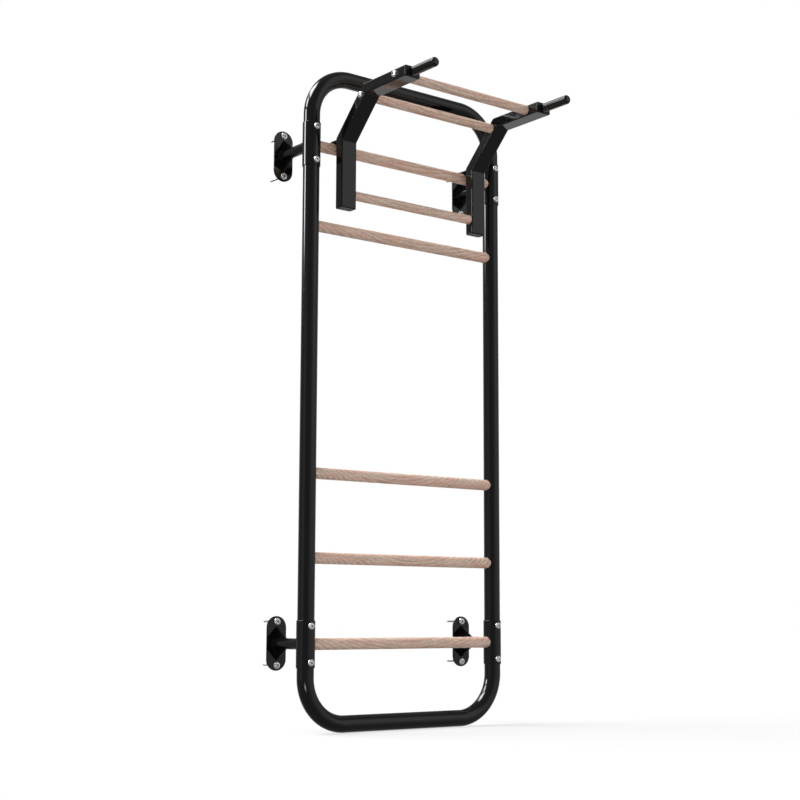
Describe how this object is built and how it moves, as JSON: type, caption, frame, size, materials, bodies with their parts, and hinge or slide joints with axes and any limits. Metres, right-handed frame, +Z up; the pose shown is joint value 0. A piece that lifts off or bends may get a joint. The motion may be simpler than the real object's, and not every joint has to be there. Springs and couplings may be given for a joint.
{
  "type": "wall bars with a pull-up unit",
  "caption": "Wall-mounted climbing ladder: a rounded black tube frame with wooden rungs on four stand-off brackets, and a hook-on cranked pull-up unit with wooden bars and two handles.",
  "frame": {"origin": "on the wall's surface, at floor level, on the centreline between the two uprights", "axes": "+X to the right seen from the front, +Y into the wall, +Z up; the bars stand in front of the wall, at negative Y"},
  "size_m": [0.781, 0.7037, 2],
  "materials": {
    "black_paint": "high-gloss black powder coat",
    "beech": "steamed beech, fine-sanded and oiled",
    "zinc_steel": "bright zinc plate",
    "black_plastic": "moulded black plastic",
    "gloss_grip": "smooth glossy black grip"
  },
  "bodies": {
    "wall_frame": {"left_upright": "black_paint", "right_upright": "black_paint", "top_bend": "black_paint", "bottom_bend": "black_paint", "rung_1": "beech", "rung_2": "beech", "rung_3": "beech", "rung_4": "beech", "rung_5": "beech", "sleeve_lower_left": "black_paint", "strut_lower_left": "black_paint", "wall_plate_lower_left": "black_paint", "sleeve_bolt_lower_left_upper": "zinc_steel", "wall_screw_lower_left_upper": "zinc_steel", "sleeve_bolt_lower_left_lower": "zinc_steel", "wall_screw_lower_left_lower": "zinc_steel", "sleeve_lower_right": "black_paint", "strut_lower_right": "black_paint", "wall_plate_lower_right": "black_paint", "sleeve_bolt_lower_right_upper": "zinc_steel", "wall_screw_lower_right_upper": "zinc_steel", "sleeve_bolt_lower_right_lower": "zinc_steel", "wall_screw_lower_right_lower": "zinc_steel", "sleeve_upper_left": "black_paint", "strut_upper_left": "black_paint", "wall_plate_upper_left": "black_paint", "sleeve_bolt_upper_left_upper": "zinc_steel", "wall_screw_upper_left_upper": "zinc_steel", "sleeve_bolt_upper_left_lower": "zinc_steel", "wall_screw_upper_left_lower": "zinc_steel", "sleeve_upper_right": "black_paint", "strut_upper_right": "black_paint", "wall_plate_upper_right": "black_paint", "sleeve_bolt_upper_right_upper": "zinc_steel", "wall_screw_upper_right_upper": "zinc_steel", "sleeve_bolt_upper_right_lower": "zinc_steel", "wall_screw_upper_right_lower": "zinc_steel"},
    "pull_up_unit": {"left_arm": "black_paint", "left_hook": "black_paint", "left_foot_cap": "black_plastic", "left_end_cap": "black_plastic", "left_handle": "gloss_grip", "elbow_bolt_left": "zinc_steel", "end_bolt_left": "zinc_steel", "right_arm": "black_paint", "right_hook": "black_paint", "right_foot_cap": "black_plastic", "right_end_cap": "black_plastic", "right_handle": "gloss_grip", "elbow_bolt_right": "zinc_steel", "end_bolt_right": "zinc_steel", "lower_dowel": "beech", "elbow_dowel": "beech", "end_dowel": "beech"}
  },
  "joints": [
    {"name": "pull_up_unit_lift", "type": "slide", "parent": "wall_frame", "child": "pull_up_unit", "axis": [0, 0, 1], "range_m": [0, 0.06]}
  ]
}
